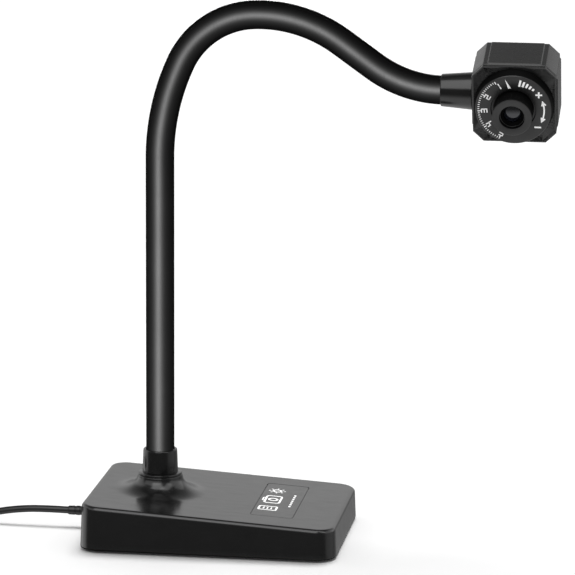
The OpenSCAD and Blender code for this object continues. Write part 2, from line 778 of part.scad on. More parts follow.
module plug_tongue() {
    color(white) translate([tail_x - 5.4, plug_y + 22.6, plug_z - 1.75]) cube([10.8, 14.5, 1.7]);
}

base_cover();
base_plate();
ballast_plate();
base_inner_screws();
base_pad();
base_screws();
label_plate();
strain_relief();
cable_clamp();
base_lead();
stem_collar();
stem_fitting();
stem_washer();
stem_nut();
for (k = LINKS) {
    neck_sleeve(k);
    neck_core(k);
}
head_ferrule();
swivel_fitting();
swivel_washer();
swivel_nut();
head_housing();
head_front_plate();
head_screws();
focus_dial();
dial_clip();
lens_barrel();
lens_retainer();
front_lens();
rear_lens();
lens_holder();
ir_filter();
image_sensor();
sensor_board();
board_screws();
board_connector();
head_lead();
microphone();
usb_cable();
cable_coil();
cable_tail();
cable_tie();
plug_body();
plug_shell();
plug_tongue();
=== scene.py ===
import json
import math

import bmesh
import bpy
from mathutils import Matrix, Vector


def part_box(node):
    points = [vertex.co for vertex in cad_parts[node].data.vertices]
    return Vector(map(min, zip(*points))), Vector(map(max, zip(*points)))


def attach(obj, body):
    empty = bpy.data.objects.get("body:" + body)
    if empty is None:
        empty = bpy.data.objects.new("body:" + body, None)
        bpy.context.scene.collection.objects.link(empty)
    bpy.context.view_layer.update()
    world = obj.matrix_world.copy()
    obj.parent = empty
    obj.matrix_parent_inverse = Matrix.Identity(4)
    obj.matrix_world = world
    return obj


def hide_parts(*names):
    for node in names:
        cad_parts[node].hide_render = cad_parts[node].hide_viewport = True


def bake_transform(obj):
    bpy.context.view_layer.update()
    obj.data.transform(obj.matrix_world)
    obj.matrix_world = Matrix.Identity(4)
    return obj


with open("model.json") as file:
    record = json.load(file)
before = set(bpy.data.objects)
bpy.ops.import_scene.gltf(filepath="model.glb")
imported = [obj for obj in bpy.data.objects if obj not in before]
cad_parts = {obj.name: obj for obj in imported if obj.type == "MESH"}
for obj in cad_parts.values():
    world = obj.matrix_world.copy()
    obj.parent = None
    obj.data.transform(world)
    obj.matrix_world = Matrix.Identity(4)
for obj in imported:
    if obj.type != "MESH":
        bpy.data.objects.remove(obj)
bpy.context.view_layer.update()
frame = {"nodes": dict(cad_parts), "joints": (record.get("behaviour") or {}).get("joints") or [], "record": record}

MM = 0.001
JOINTS = {joint["name"]: joint for joint in frame["joints"]}


def box_mm(node):
    low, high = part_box(node)
    return low / MM, high / MM


def joint_mm(name):
    return Vector(JOINTS[name]["pos_m"]) / MM


# ---------- driving dimensions, as in the CAD source ----------
TOP_MID = 19.45       # height of the base's sloping top above its middle
TOP_SLOPE = 0.06      # how much it falls for each millimetre towards the front end
SLOPE_ANGLE = math.atan(TOP_SLOPE)
WALL_DRAFT = 0.04
WALL = 2.2
CORNER_R = 10
TOP_EDGE_R = 1.9
LABEL_CENTRE = (29.9, 1)
LABEL_SIZE = (20.6, 60.6)
LABEL_DEPTH = 0.4
NECK_R = 7
NECK_BORE_R = 4.9
CORE_R = 4.8
CORE_BORE_R = 3
HEAD_W = 40
HEAD_CHAMFER = 5.1
PANEL_W = 26
PANEL_T = 0.6
BACK_Z = -13          # this and the next four lie along the lens axis, from the head's middle
PLATE_Z = 11
FACE_Z = 13
DIAL_TOP = 18.4
BARREL_TOP = 26.5
CABLE_D = 3.5
STEM_X = joint_mm("stem_lean").x
HEAD_CENTRE = joint_mm("focus_turn")
LENS_AXIS = Vector(JOINTS["focus_turn"]["axis"])
CUP_R = 7.08          # of the collar's and the ferrule's mouths, round the sleeve
PRINT_T = 0.03        # thickness of raised printing


def top_z(x):
    return TOP_MID - TOP_SLOPE * x


def placed(name, data):
    """A new object that holds data, in the scene."""
    obj = bpy.data.objects.new(name, data)
    bpy.context.scene.collection.objects.link(obj)
    return obj


# ---------- camera ----------
CAMERA_AT = Vector((285.22, -1750.91, 489.41))
CAMERA_RIGHT = Vector((0.98960, 0.14370, 0.00577))
CAMERA_BACK = Vector((0.13961, -0.96952, 0.20136))
SENSOR_W = 36
FOCAL_LENGTH = 231.1


def make_camera():
    data = bpy.data.cameras.new("camera")
    data.sensor_width = SENSOR_W
    data.lens = FOCAL_LENGTH
    data.clip_start = 0.1
    data.clip_end = 60
    camera = placed("camera", data)
    axes = (CAMERA_RIGHT, CAMERA_BACK.cross(CAMERA_RIGHT), CAMERA_BACK)
    turn = Matrix(axes).transposed().to_4x4()
    camera.matrix_world = Matrix.Translation(CAMERA_AT * MM) @ turn
    bpy.context.scene.camera = camera


# ---------- materials ----------
class Tree:
    """A node tree, with short ways to add nodes that are fed by sockets or by plain values."""

    def __init__(self, tree):
        self.tree = tree

    def fill(self, entry, source):
        if isinstance(source, bpy.types.NodeSocket):
            self.tree.links.new(source, entry)
        else:
            entry.default_value = source

    def add(self, kind, links=None, **values):
        node = self.tree.nodes.new("ShaderNode" + kind)
        for key, value in values.items():
            setattr(node, key, value)
        for socket, source in (links or {}).items():
            self.fill(node.inputs[socket], source)
        return node

    def mixed(self, amount, first, second):
        node = self.add("Mix", {"Factor": amount}, data_type="RGBA")
        for socket, colour in ((6, first), (7, second)):
            plain = isinstance(colour, tuple)
            self.fill(node.inputs[socket], (*colour, 1) if plain else colour)
        return node.outputs[2]


class Nodes(Tree):
    """A material's node tree, with what every finish here is made of."""

    def __init__(self, name):
        self.material = bpy.data.materials.new(name)
        self.material.use_nodes = True
        super().__init__(self.material.node_tree)
        self.shader = self.tree.nodes["Principled BSDF"]
        self.place = self.tree.nodes.new("ShaderNodeTexCoord").outputs["Object"]

    def feed(self, socket, source):
        self.fill(self.shader.inputs[socket], source)

    def stretched(self, scale):
        return self.add("Mapping", {"Vector": self.place, "Scale": scale}).outputs["Vector"]

    def noise(self, size_mm, detail=3, place=None):
        """Noise whose patches are about size_mm across."""
        links = {"Vector": place or self.place, "Scale": 1000 / size_mm, "Detail": detail}
        return self.add("TexNoise", links).outputs["Fac"]

    def ramp(self, source, low, high):
        """Stretches a noise's middle over low to high."""
        links = {"Value": source, "From Min": 0.3, "From Max": 0.7, "To Min": low, "To Max": high}
        return self.add("MapRange", links).outputs["Result"]

    def bump(self, height, depth_mm, after=None):
        links = {"Height": height, "Distance": depth_mm * MM, "Strength": 1}
        if after is not None:
            links["Normal"] = after
        return self.add("Bump", links).outputs["Normal"]


def grey(level, warmth=0.0):
    return (level * (1 + warmth), level, level * (1 - warmth))


def moulded(name, colour, roughness, specular, grain_mm, grain_depth, smudge=0.05):
    """Moulded plastic or rubber: a fine grain, faint handling marks and a little unevenness of colour."""
    nodes = Nodes(name)
    patches = nodes.noise(14, 4)
    wiped = nodes.noise(5, 5, nodes.stretched((0.5, 1.6, 1)))
    grain = nodes.noise(grain_mm, 2)
    darker = tuple(channel * 0.86 for channel in colour)
    nodes.feed("Base Color", nodes.mixed(nodes.ramp(patches, 0, 1), darker, colour))
    nodes.feed("Roughness", nodes.ramp(wiped, roughness - smudge, roughness + smudge))
    nodes.feed("Specular IOR Level", specular)
    nodes.feed("Normal", nodes.bump(grain, grain_depth))
    return nodes.material


def metal(name, colour, roughness, brush, scratch_depth=0.003):
    """Machined or plated metal, with fine marks along one direction and duller patches."""
    nodes = Nodes(name)
    brushed = nodes.noise(0.9, 4, nodes.stretched(brush))
    dull = nodes.noise(3.5, 3)
    tarnish = tuple(channel * 0.72 for channel in colour)
    nodes.feed("Base Color", nodes.mixed(nodes.ramp(dull, 0, 0.8), colour, tarnish))
    nodes.feed("Metallic", 1.0)
    nodes.feed("Roughness", nodes.ramp(brushed, roughness * 0.7, roughness * 1.4))
    nodes.feed("Normal", nodes.bump(brushed, scratch_depth))
    return nodes.material


def sheen_rubber(name, level, roughness, high_level=None):
    """Smooth black rubber with one soft sheen, which dies out towards a round piece's edges.

    With a high_level, its strength goes from level at the table to high_level at the top of the stem: painted
    shade that weakens the reflection higher up, to even out the stem's highlight.
    """
    nodes = Nodes(name)
    drawn = nodes.noise(1.3, 3, nodes.stretched((3, 3, 0.4)))
    speck = nodes.noise(0.3, 2)
    patches = nodes.noise(22, 3)
    # Painted shade: the reflection's strength changes with height, weaker towards the stem's top, so its highlight
    # looks even.
    height = nodes.add("SeparateXYZ", {"Vector": nodes.place}).outputs["Z"]
    links = {"Value": height, "From Min": 0.03, "From Max": 0.245}
    rise = nodes.add("MapRange", links).outputs["Result"]
    sheen = nodes.mixed(rise, grey(level), grey(high_level or level))
    faint = nodes.mixed(rise, grey(0.9 * level), grey(0.9 * (high_level or level)))
    nodes.feed("Base Color", nodes.mixed(nodes.ramp(patches, 0, 1), faint, sheen))
    nodes.feed("Metallic", 1.0)
    nodes.feed("Specular Tint", (0, 0, 0, 1))
    nodes.feed("Roughness", nodes.ramp(drawn, roughness - 0.02, roughness + 0.02))
    nodes.feed("Normal", nodes.bump(speck, 0.003, nodes.bump(drawn, 0.004)))
    return nodes.material


def lens_glass(name, tint):
    """Coated glass over a dark barrel: a clear mirror with the coating's tint, and a few specks of dust."""
    nodes = Nodes(name)
    facing = nodes.add("LayerWeight", {"Blend": 0.35}).outputs["Facing"]
    dust = nodes.ramp(nodes.noise(0.7, 4), 0.03, 0.09)
    nodes.feed("Base Color", nodes.mixed(facing, grey(0.004), tint))
    nodes.feed("Roughness", dust)
    nodes.feed("Specular IOR Level", 0.5)
    nodes.feed("Coat Weight", 0.3)
    nodes.feed("Coat Roughness", 0.04)
    nodes.feed("Coat Tint", (0.78, 0.84, 1, 1))
    return nodes.material


def circuit_board(name):
    """Green solder mask with lighter tracks and small tinned pads."""
    nodes = Nodes(name)
    tracks = nodes.add("TexBrick", {"Vector": nodes.place, "Scale": 420.0, "Mortar Size": 0.03})
    pads = nodes.add("TexVoronoi", {"Vector": nodes.place, "Scale": 600.0}).outputs["Distance"]
    pad_mask = nodes.add("MapRange", {"Value": pads, "From Min": 0.14, "From Max": 0.1}).outputs["Result"]
    mask = nodes.mixed(tracks.outputs["Fac"], (0.012, 0.10, 0.045), (0.03, 0.19, 0.09))
    nodes.feed("Base Color", nodes.mixed(pad_mask, mask, (0.62, 0.6, 0.52)))
    nodes.feed("Metallic", pad_mask)
    nodes.feed("Roughness", nodes.ramp(nodes.noise(2), 0.28, 0.4))
    nodes.feed("Normal", nodes.bump(tracks.outputs["Fac"], 0.02))
    return nodes.material


def label_film(name):
    """Printed film on the base: almost as dark as the cover, with a faint woven grain."""
    nodes = Nodes(name)
    weave = nodes.add("TexWave", {"Vector": nodes.place, "Scale": 900.0, "Distortion": 0.6}).outputs["Fac"]
    nodes.feed("Base Color", nodes.mixed(nodes.ramp(nodes.noise(9, 4), 0, 1), grey(0.006), grey(0.009)))
    nodes.feed("Roughness", nodes.ramp(nodes.noise(4, 4), 0.18, 0.24))
    nodes.feed("Normal", nodes.bump(weave, 0.0003))
    return nodes.material


def printed_white(name):
    """White pad printing: slightly thin in places."""
    nodes = Nodes(name)
    nodes.feed("Base Color", nodes.mixed(nodes.ramp(nodes.noise(0.6, 4), 0, 0.5), grey(0.9), grey(0.72)))
    nodes.feed("Roughness", nodes.ramp(nodes.noise(0.9), 0.45, 0.6))
    nodes.feed("Normal", nodes.bump(nodes.noise(0.15), 0.004))
    return nodes.material


# Colour, roughness, specular level, the grain's size and depth in millimetres, and how much handling shows
MOULDED = {
    "base_shell": (grey(0.004), 0.2, 0.5, 0.35, 0.002, 0.03),
    "stem_shell": (grey(0.004), 0.2, 0.5, 0.4, 0.002, 0.03),
    "head_shell": (grey(0.008), 0.28, 0.5, 0.3, 0.006, 0.03),
    "head_face": (grey(0.012), 0.44, 0.5, 0.3, 0.006, 0.04),
    "dial_plastic": (grey(0.009), 0.38, 0.5, 0.28, 0.008, 0.04),
    "lens_black": (grey(0.007), 0.34, 0.5, 0.22, 0.006, 0.04),
    # grip_black also serves as painted shade, on turned pieces' side walls and round the base cover's rim.
    "grip_black": (grey(0.002), 0.6, 0.04, 0.5, 0.01),
    "dark_plastic": (grey(0.018), 0.5, 0.4, 0.4, 0.012),
    "white_plastic": (grey(0.78, 0.01), 0.4, 0.5, 0.4, 0.006),
    "rubber_black": (grey(0.016, 0.03), 0.75, 0.3, 0.5, 0.03),
}
# Colour, roughness, how fine the marks are along each axis, and their depth in millimetres
METALS = {
    "ballast_steel": (grey(0.36, 0.02), 0.42, (1, 14, 1), 0.006),
    "screw_steel": (grey(0.6, 0.015), 0.3, (4, 4, 4)),
    "fitting_steel": (grey(0.62), 0.26, (6, 6, 1)),
    "neck_core": (grey(0.48, 0.01), 0.34, (2, 2, 9)),
    "plug_metal": (grey(0.72, 0.01), 0.22, (1, 10, 1)),
}


def make_materials():
    made = {name: moulded(name, *values) for name, values in MOULDED.items()}
    made |= {name: metal(name, *values) for name, values in METALS.items()}
    return made | {
        "cable_jacket": sheen_rubber("cable_jacket", 0.06, 0.42),
        # Painted shade on the sleeve: its reflection weakens from 0.0195 at the table to 0.0088 at the stem's top.
        "neck_sleeve": sheen_rubber("neck_sleeve", 0.0195, 0.5, 0.0088),
        "lens_glass": lens_glass("lens_glass", (0.02, 0.022, 0.035)),
        "filter_glass": lens_glass("filter_glass", (0.22, 0.04, 0.07)),
        "board_green": circuit_board("board_green"),
        "label_film": label_film("label_film"),
        "print_white": printed_white("print_white"),
    }


MATERIALS = make_materials()


# ---------- mesh making ----------
def add_mesh(name, points, faces, slot, body=None, sharp_deg=32, material=None):
    """A piece from points in millimetres: welded, with outward normals, smooth below sharp_deg."""
    mesh = bpy.data.meshes.new(name)
    mesh.from_pydata([tuple(Vector(p) * MM) for p in points], [], faces)
    work = bmesh.new()
    work.from_mesh(mesh)
    bmesh.ops.remove_doubles(work, verts=work.verts, dist=1e-7)
    bmesh.ops.dissolve_degenerate(work, edges=work.edges, dist=1e-8)
    bmesh.ops.recalc_face_normals(work, faces=work.faces)
    work.to_mesh(mesh)
    work.free()
    mesh.shade_smooth()
    mesh.set_sharp_from_angle(angle=math.radians(sharp_deg))
    obj = placed(name, mesh)
    mesh.materials.append(MATERIALS[material or slot])
    if body:
        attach(obj, body)
    return obj


def loft_faces(ring_count, n, loop=False):
    """Quads between rings of n points each; loop joins the last ring to the first."""
    faces = []
    for i in range(ring_count if loop else ring_count - 1):
        a, b = i * n, (i + 1) % ring_count * n
        faces += [(a + k, a + (k + 1) % n, b + (k + 1) % n, b + k) for k in range(n)]
    return faces


def capped_faces(ring_count, n):
    """Quads between rings, and a cap on the first and the last."""
    first = tuple(range(n))
    return loft_faces(ring_count, n) + [first[::-1], tuple(k + (ring_count - 1) * n for k in first)]


def filleted(corners, steps):
    """A closed outline of (x, y, radius) corners, with each corner rounded to its radius."""
    outline = []
    for i, (x, y, radius) in enumerate(corners):
        corner = Vector((x, y))
        before = Vector(corners[i - 1][:2]) - corner
        after = Vector(corners[(i + 1) % len(corners)][:2]) - corner
        if radius <= 0:
            outline.append(corner)
            continue
        half = before.angle(after) / 2
        reach = min(radius / math.tan(half), 0.49 * before.length, 0.49 * after.length)
        start = corner + before.normalized() * reach
        end = corner + after.normalized() * reach
        middle = (before.normalized() + after.normalized()).normalized()
        centre = corner + middle * (reach / math.cos(half))
        first, last = start - centre, end - centre
        sweep = first.angle_signed(last)
        for k in range(steps + 1):
            turn = Matrix.Rotation(-sweep * k / steps, 2)
            outline.append(centre + turn @ first)
    return outline


def polar(radius, angle):
    """The point at that radius and bearing in degrees."""
    a = math.radians(angle)
    return Vector((radius * math.cos(a), radius * math.sin(a)))


def circle(x, y, radius, n=28, start=0, sweep=360):
    """Points on a circle, or on an arc of it, with both its ends."""
    count = n if sweep == 360 else n + 1
    return [Vector((x, y)) + polar(radius, start + sweep * k / n) for k in range(count)]


def lathe(name, corners, place, slot, body=None, n=96, sharp_deg=32, steps=4):
    """A turned piece: a closed outline of (radius, height, fillet) corners, spun about place's z axis."""
    outline = filleted(corners, steps)
    points = []
    for radius, height in outline:
        points += [place @ Vector((*p, height)) for p in circle(0, 0, max(radius, 0), n)]
    return add_mesh(name, points, loft_faces(len(outline), n, loop=True), slot, body, sharp_deg)


def slab(name, outline, z0, z1, edge, place, slot, body=None, sharp_deg=32, material=None):
    """A plate between z0 and z1 with its top edge rounded by edge, from an outline of (x, y) points."""
    rings = [(0, z0), (0, z1 - edge), (0.3 * edge, z1 - 0.3 * edge), (edge, z1)]
    points = []
    for inset, z in rings:
        points += [place @ Vector((x, y, z)) for x, y in inset_outline(outline, inset)]
    faces = capped_faces(len(rings), len(outline))
    return add_mesh(name, points, faces, slot, body, sharp_deg, material)


def inset_outline(outline, inset):
    """Every point of a counter-clockwise outline moved inwards, square to its neighbours."""
    if inset == 0:
        return list(outline)
    moved = []
    for i, point in enumerate(outline):
        along = Vector(outline[(i + 1) % len(outline)]) - Vector(outline[i - 1])
        inward = Vector((-along.y, along.x)).normalized()
        moved.append(Vector(point) + inward * inset)
    return moved


def round_rect(length, width, radius):
    x, y = length / 2, width / 2
    return filleted([(-x, -y, radius), (x, -y, radius), (x, y, radius), (-x, y, radius)], 6)


def cut(obj, sharp_deg, *tools):
    """Cuts closed meshes out of a piece, then deletes them; the piece stays smooth below sharp_deg."""
    for tool in tools:
        boolean = obj.modifiers.new("cut", "BOOLEAN")
        boolean.operation = "DIFFERENCE"
        boolean.solver = "EXACT"
        boolean.object = tool
    bpy.context.view_layer.update()
    depsgraph = bpy.context.evaluated_depsgraph_get()
    mesh = bpy.data.meshes.new_from_object(obj.evaluated_get(depsgraph), depsgraph=depsgraph)
    obj.modifiers.clear()
    obj.data = mesh
    mesh.set_sharp_from_angle(angle=math.radians(sharp_deg))
    for tool in tools:
        bpy.data.objects.remove(tool)


def cutter(place, radius, z0, z1, n=48):
    """A plain cylinder to cut with."""
    points = [place @ Vector((*p, z)) for z in (z0, z1) for p in circle(0, 0, radius, n)]
    return add_mesh("cutter", points, capped_faces(2, n), "dark_plastic")


def paint_side_shade(obj, axis):
    """Paints shade on a turned piece: faces nearly parallel to its axis, its side walls, get the near-black
    grip_black.
    """
    obj.data.materials.append(MATERIALS["grip_black"])
    for face in obj.data.polygons:
        if abs(face.normal.dot(axis)) < 0.45:
            face.material_index = 1


LENS_FRAME = Matrix.Translation(HEAD_CENTRE) @ Matrix((
    Vector((1, 0, 0)), LENS_AXIS.cross(Vector((1, 0, 0))), LENS_AXIS
)).transposed().to_4x4()
STEM_FRAME = Matrix.Translation((STEM_X, 0, 0))


def along_x(x, z):
    """A frame whose z axis points along +X from (x, 0, z)."""
    return Matrix.Translation((x, 0, z)) @ Matrix.Rotation(math.pi / 2, 4, "Y")


# ---------- cable ----------
CABLE_R = CABLE_D / 2
CABLE_Z = 8.4         # of the cable where it leaves the base
OUTLET = (box_mm("strain_relief")[0].x, 0, CABLE_Z)
COIL_X = -165
COIL_R = 19.6
COIL_PITCH = 3.7
COIL_SPAN = 2.75 * COIL_PITCH
COIL_OUT_R = COIL_R + COIL_SPAN / 2
COIL_IN_R = COIL_R - COIL_SPAN / 2
COIL_Y = COIL_OUT_R
COIL_LIFT = 0.6
COIL_TOP = COIL_LIFT + CABLE_R + 3 * COIL_PITCH
TAIL_X = COIL_X - (COIL_IN_R + 2.25 * COIL_PITCH)
PLUG_Y = 68
PLUG_Z = 4
CABLE_ROUTE = [OUTLET] + [(x, 0, z) for x, z in (
    (-80, 8.45), (-84, 8.5), (-88, 8.5), (-92, 8.45), (-96, 8.3), (-100, 8), (-104, 7.55), (-108, 6.95),
    (-112, 6.2), (-116, 5.35), (-120, 4.5), (-124, 3.7), (-128, 3), (-132, 2.45), (-136, 2.1), (-141, 1.9),
    (-146, 1.9), (-152, 2.1), (-158, 2.3),
)]
TAIL_ROUTE = [(TAIL_X, y, z) for y, z in (
    (28, COIL_TOP), (31, 13.3), (34, 13.05), (37, 12.3), (40, 11.1), (43, 9.8), (46, 8.5), (49, 7.3),
    (52, 6.25), (55, 5.4), (58, 4.75), (61, 4.3), (64, 4.07), (PLUG_Y, PLUG_Z),
)]


def coil_points():
    """The wound turns: four flat spirals, in, out, in and out, each a pitch above the one below."""
    per_turn = 36
    steps = []
    for layer in range(4):
        inwards = layer % 2 == 0
        turns = 2.75 if layer < 3 else 2.25
        steps += [("spiral", layer, inwards, turns)]
        if layer < 3:
            steps += [("climb", layer, inwards, 0.25)]
    points = []
    angle = -math.pi / 2
    for kind, layer, inwards, turns in steps:
        count = round(turns * per_turn)
        for k in range(count):
            done = k / count
            if kind == "spiral":
                run = turns * COIL_PITCH * done
                radius = COIL_OUT_R - run if inwards else COIL_IN_R + run
                rise = 0
            else:
                radius = COIL_IN_R if inwards else COIL_OUT_R
                rise = COIL_PITCH * (3 * done ** 2 - 2 * done ** 3)
            a = angle - 2 * math.pi * turns * done
            z = COIL_LIFT + CABLE_R + layer * COIL_PITCH + rise
            points.append((COIL_X + radius * math.cos(a), COIL_Y + radius * math.sin(a), z))
        angle -= 2 * math.pi * turns
    points.append((TAIL_X, COIL_Y, COIL_TOP))
    return points


def smoothed(points):
    """A finer line through the same points, each stretch a Catmull-Rom curve."""
    steps = 3
    fine = []
    for i in range(len(points) - 1):
        a, b = Vector(points[max(i - 1, 0)]), Vector(points[i])
        c, d = Vector(points[i + 1]), Vector(points[min(i + 2, len(points) - 1)])
        for k in range(steps):
            t = k / steps
            fine.append(0.5 * (2 * b + (c - a) * t + (2 * a - 5 * b + 4 * c - d) * t ** 2
                               + (3 * b - a - 3 * c + d) * t ** 3))
    fine.append(Vector(points[-1]))
    return fine


def make_cable():
    coil = coil_points()
    line = smoothed(CABLE_ROUTE + [coil[0]])[:-1] + [Vector(p) for p in coil[:-1]]
    line += smoothed([coil[-1]] + TAIL_ROUTE)
    data = bpy.data.curves.new("usb_cable_run", "CURVE")
    data.dimensions = "3D"
    data.bevel_depth = CABLE_R * MM
    data.bevel_resolution = 5
    data.use_fill_caps = True
    spline = data.splines.new("POLY")
    spline.points.add(len(line) - 1)
    for place, point in zip(spline.points, line):
        place.co = (*(point * MM), 1)
    spline.use_smooth = True
    cable = placed("usb_cable_run", data)
    data.materials.append(MATERIALS["cable_jacket"])
    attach(cable, "base")
    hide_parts("usb_cable", "cable_coil", "cable_tail")
    return cable


def make_tie():
    """The band round the coil, with rounded edges."""
    low, high = box_mm("cable_tie")
    size = high - low
    place = Matrix.Translation((low + high) / 2) @ Matrix.Rotation(math.pi / 2, 4, "X")
    outer = round_rect(size.x, size.z, 1.6)
    points = []
    half = size.y / 2
    edge, thick = 0.12, 0.58
    rings = [(edge, -half), (0, -half + edge), (0, half - edge), (edge, half), (thick, half), (thick, -half)]
    for inset, z in rings:
        points += [place @ Vector((x, y, z)) for x, y in inset_outline(outer, inset)]
    tie = add_mesh("cable_tie_band", points, loft_faces(6, len(outer), loop=True), "cable_jacket", "base")
    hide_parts("cable_tie")
    return tie


def make_plug():
    """The moulded body of a USB-A plug, waisted behind its grip, and the neck that takes the cable."""
    place = Matrix.Translation((TAIL_X, PLUG_Y, PLUG_Z)) @ Matrix.Rotation(-math.pi / 2, 4, "X")
    grip = [(0.3, 7), (0.9, 7.4), (1.5, 8.4), (0, 10), (0, 24.6), (0.7, 25.6)]
    points = []
    sides = round_rect(15.6, 8, 2.4)
    for inset, along in grip:
        points += [place @ Vector((x, y, along)) for x, y in inset_outline(sides, inset)]
    body = add_mesh("plug_grip", points, capped_faces(len(grip), len(sides)), "cable_jacket", "base")
    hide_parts("plug_body")
    neck = lathe("plug_neck", [(1.8, 0, 0), (2.3, 0, 0.2), (3.1, 7.6, 0), (1.8, 7.6, 0)], place,
                 "cable_jacket", "base", n=32)
    return body, neck


# ---------- base ----------
BASE_LOW, BASE_HIGH = box_mm("base_cover")
CORNER_N = 14         # points on each corner, long side and short side of the base's outline
LONG_N = 34
SHORT_N = 26
OUTLINE_N = 4 * CORNER_N + 2 * LONG_N + 2 * SHORT_N


def outline_point(i, inset):
    """Point i of the base's outline, a rounded rectangle moved in by inset, counted from the rear corner."""
    x, y = ((BASE_HIGH - BASE_LOW) / 2).xy - Vector((CORNER_R, CORNER_R))
    centres = [Vector((-x, -y)), Vector((x, -y)), Vector((x, y)), Vector((-x, y))]
    radius = CORNER_R - inset
    for side, count in enumerate((LONG_N, SHORT_N, LONG_N, SHORT_N)):
        bearing = 180 + 90 * side
        if i < CORNER_N:
            return centres[side] + polar(radius, bearing + 90 * i / CORNER_N)
        i -= CORNER_N
        if i < count:
            start = centres[side] + polar(radius, bearing + 90)
            return start.lerp(centres[(side + 1) % 4] + polar(radius, bearing + 90), i / count)
        i -= count
    raise ValueError("the outline has fewer points")


def wall_ring(inset, level):
    """A ring round the base's wall: level 0 is the rim and 1 is where the top edge's rounding starts."""
    ring = []
    for i in range(OUTLINE_N):
        high = top_z(outline_point(i, inset)[0]) - TOP_EDGE_R
        z = BASE_LOW.z + level * (high - BASE_LOW.z)
        x, y = outline_point(i, inset + WALL_DRAFT * z)
        ring.append(Vector((x, y, z)))
    return ring


def edge_ring(angle):
    """A ring on the rounding of the base's top edge, angle 0 at the wall and 90 degrees at the top."""
    ring = []
    for i in range(OUTLINE_N):
        start = top_z(outline_point(i, 0)[0]) - TOP_EDGE_R
        inset = WALL_DRAFT * start + TOP_EDGE_R * (1 - math.cos(angle))
        x, y = outline_point(i, inset)
        ring.append(Vector((x, y, top_z(x) - TOP_EDGE_R * (1 - math.sin(angle)))))
    return ring


BOSS_R = 23.6
LEDGE_R = 11.12       # of the flare's upper end, round the raised ring
RING_R = 10.75        # of the raised ring that the collar stands on
STEM_HOLE_R = 5.2
BOSS_HOLLOW_R = 13
RIM_SHADE_H = 0.9          # height of the painted shade: a darker band round the cover's rim, where it meets the table
OUTLET_R = 2.65
COVER_SHARP_DEG = 38


def boss_ring(radius, height, bearings, level=0.0):
    """A ring round the stem, height above the sloping top; level 1 makes it flat instead of sloping."""
    ring = []
    for a in bearings:
        x, y = radius * math.cos(a), radius * math.sin(a)
        slope = -TOP_SLOPE * x * (1 - level)
        ring.append(Vector((STEM_X + x, y, top_z(STEM_X) + height + slope)))
    return ring


def make_base():
    """The base's cover as one hollow shell: drafted wall, rounded top edge, sloping top and flared boss."""
    rings = [wall_ring(0.35, 0), wall_ring(0.1, 0.012), wall_ring(0, 0.04)]
    rings += [wall_ring(0, level) for level in (0.3, 0.65, 1)]
    rings += [edge_ring(math.radians(a)) for a in range(10, 91, 10)]
    last = rings[-1]
    bearings = [math.atan2(p.y, p.x - STEM_X) for p in last]
    flat = boss_ring(BOSS_R + 1, 0, bearings)
    for share in (0.02, 0.1, 0.35, 0.65, 0.9, 0.98, 1):
        rings.append([a.lerp(b, share) for a, b in zip(last, flat)])
    ring_top = BASE_HIGH.z - top_z(STEM_X)
    flare_top = ring_top - 1.2
    steps = 24
    for k in range(1, steps + 1):
        a = math.radians(90 * k / steps)
        radius = BOSS_R - (BOSS_R - LEDGE_R) * math.sin(a)
        height = (flare_top - 0.25) * (1 - math.cos(a))
        rings.append(boss_ring(radius, height, bearings, (k / steps) ** 2))
    for radius, height in ((LEDGE_R - 0.08, flare_top - 0.08), (LEDGE_R - 0.25, flare_top),
                           (RING_R - 0.03, flare_top), (RING_R, flare_top + 0.1), (RING_R, ring_top - 0.3),
                           (RING_R - 0.09, ring_top - 0.09), (RING_R - 0.3, ring_top),
                           (STEM_HOLE_R, ring_top), (STEM_HOLE_R, ring_top - 8)):
        rings.append(boss_ring(radius, height, bearings, 1))
    rings.append(boss_ring(BOSS_HOLLOW_R, -WALL, bearings, 1))
    inside = [outline_point(i, WALL + 0.9) for i in range(OUTLINE_N)]
    rings.append([Vector((x, y, top_z(x) - WALL)) for x, y in inside])
    rings.append([Vector((*outline_point(i, WALL + 0.1), BASE_LOW.z)) for i in range(OUTLINE_N)])
    points = [p for ring in rings for p in ring]
    faces = loft_faces(len(rings), OUTLINE_N, loop=True)
    cover = add_mesh("base_shell", points, faces, "base_shell", sharp_deg=COVER_SHARP_DEG)
    tilt = Matrix.Rotation(SLOPE_ANGLE, 4, "Y")
    place = Matrix.Translation((*LABEL_CENTRE, top_z(LABEL_CENTRE[0]))) @ tilt
    pocket_outline = round_rect(LABEL_SIZE[0] + 0.7, LABEL_SIZE[1] + 0.7, 2.2)
    pocket = slab("pocket", pocket_outline, -LABEL_DEPTH, 3, 0.01, place, "base_shell")
    outlet = cutter(along_x(BASE_LOW.x - 1, CABLE_Z), OUTLET_R, 0, 4.2)
    cut(cover, COVER_SHARP_DEG, pocket, outlet)
    # Painted shade: faces round the cover's rim get the near-black grip_black, for the shade where the cover meets
    # the table.
    cover.data.materials.append(MATERIALS["grip_black"])
    for face in cover.data.polygons:
        if face.center.z < (BASE_LOW.z + RIM_SHADE_H) * MM:
            face.material_index = len(cover.data.materials) - 1
    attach(cover, "base")
    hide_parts("base_cover")
    return cover, place


def stroke(points, width, closed):
    """The outline of a flat line of that width along some points, as quads."""
    count = len(points)
    left, right = [], []
    for i, point in enumerate(points):
        here = Vector(point)
        before = Vector(points[i - 1]) if i or closed else here
        after = Vector(points[(i + 1) % count]) if i < count - 1 or closed else here
        first, second = (here - before), (after - here)
        along = (first.normalized() + second.normalized()).normalized()
        side = Vector((-along.y, along.x))
        corner = max(0.5, side.dot(Vector((-second.y, second.x)).normalized()) if second.length else 1)
        left.append(here + side * (width / 2 / corner))
        right.append(here - side * (width / 2 / corner))
    return left, right


